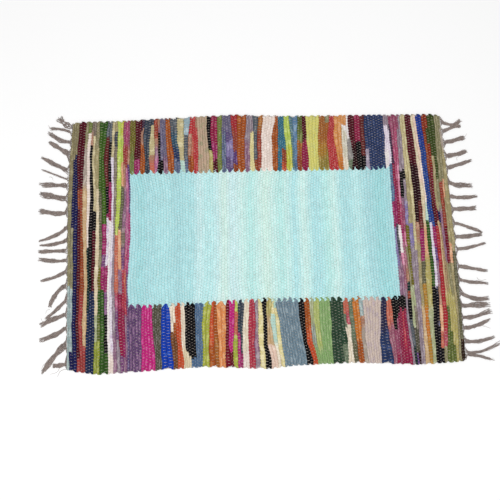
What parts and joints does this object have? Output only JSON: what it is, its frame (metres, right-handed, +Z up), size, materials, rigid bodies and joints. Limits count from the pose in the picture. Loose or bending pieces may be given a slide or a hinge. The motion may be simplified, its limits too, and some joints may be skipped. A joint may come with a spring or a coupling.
{
  "type": "dhurrie rug",
  "caption": "Flat-woven cotton rag rug with a pale centre panel, a multicoloured striped border and a loose warp fringe on both short ends, lying flat on a floor.",
  "frame": {"origin": "centre of the cloth's flat underside, on the floor", "axes": "+X along the rug's length, across the weft ribs; +Y across its width, along the ribs; +Z up through its thickness"},
  "size_m": [1.0545, 0.6185, 0.0064],
  "materials": {
    "rag_cotton": "soft matt cotton jersey strips, woven",
    "warp_cotton": "matt loosely spun cotton yarn"
  },
  "bodies": {
    "root": {"woven_cloth": "rag_cotton", "fringe_left": "warp_cotton", "fringe_right": "warp_cotton"}
  },
  "joints": []
}
